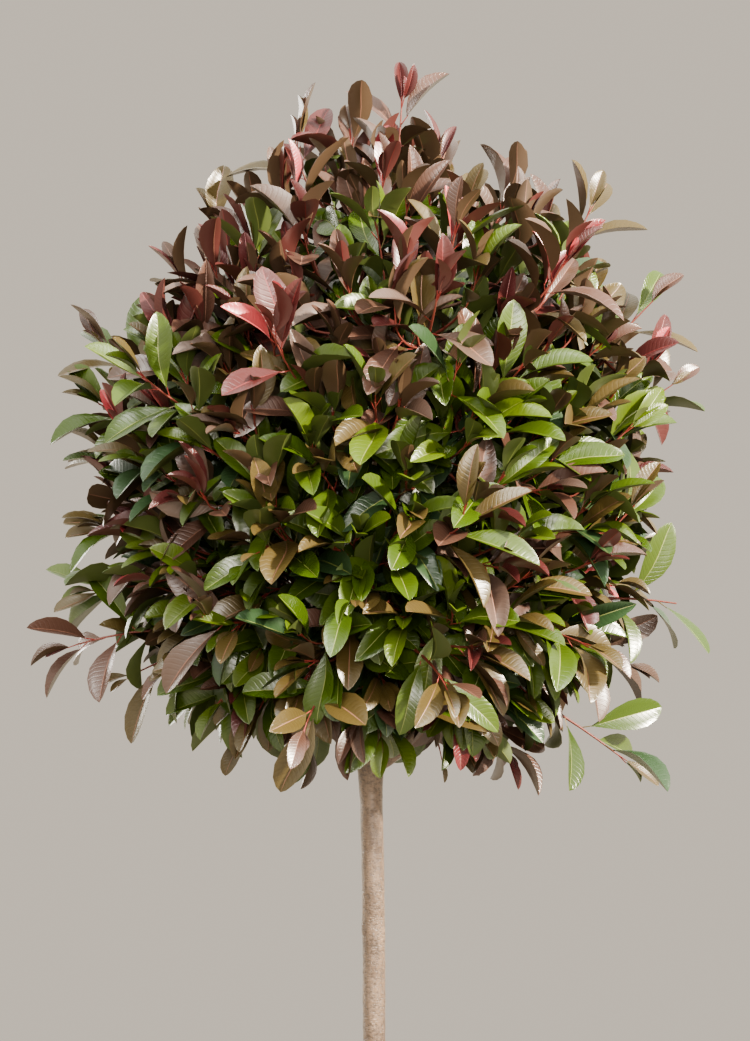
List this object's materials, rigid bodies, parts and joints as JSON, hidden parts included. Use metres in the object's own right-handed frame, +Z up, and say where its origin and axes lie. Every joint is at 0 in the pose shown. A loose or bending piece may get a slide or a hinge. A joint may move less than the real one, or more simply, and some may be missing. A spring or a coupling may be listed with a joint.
{
  "type": "potted photinia standard",
  "caption": "Evergreen shrub trained as a small standard: one clear stem under a dense rounded crown of green and bronze-red leaves, in a plain round terracotta pot of compost.",
  "frame": {"origin": "centre of the pot's flat underside, on the ground", "axes": "+Z up along the stem, +X to the right and -Y towards the viewer of the reference view"},
  "size_m": [1.0052, 0.9266, 2.3434],
  "materials": {
    "terracotta": "unglazed, matt",
    "compost": "crumbly, matt",
    "bark": "smooth grey-brown bark, matt",
    "foliage": "leathery, semi-gloss"
  },
  "bodies": {
    "root": {"pot": "terracotta", "soil": "compost", "trunk": "bark", "bough_lower_1": "bark", "bough_lower_2": "bark", "bough_lower_3": "bark", "bough_lower_4": "bark", "bough_lower_5": "bark", "bough_upper_1": "bark", "bough_upper_2": "bark", "bough_upper_3": "bark", "bough_upper_4": "bark", "bough_leader": "bark", "foliage_lower_1": "foliage", "foliage_lower_2": "foliage", "foliage_lower_3": "foliage", "foliage_lower_4": "foliage", "foliage_lower_5": "foliage", "foliage_upper_1": "foliage", "foliage_upper_2": "foliage", "foliage_upper_3": "foliage", "foliage_upper_4": "foliage", "foliage_top": "foliage"}
  },
  "joints": []
}
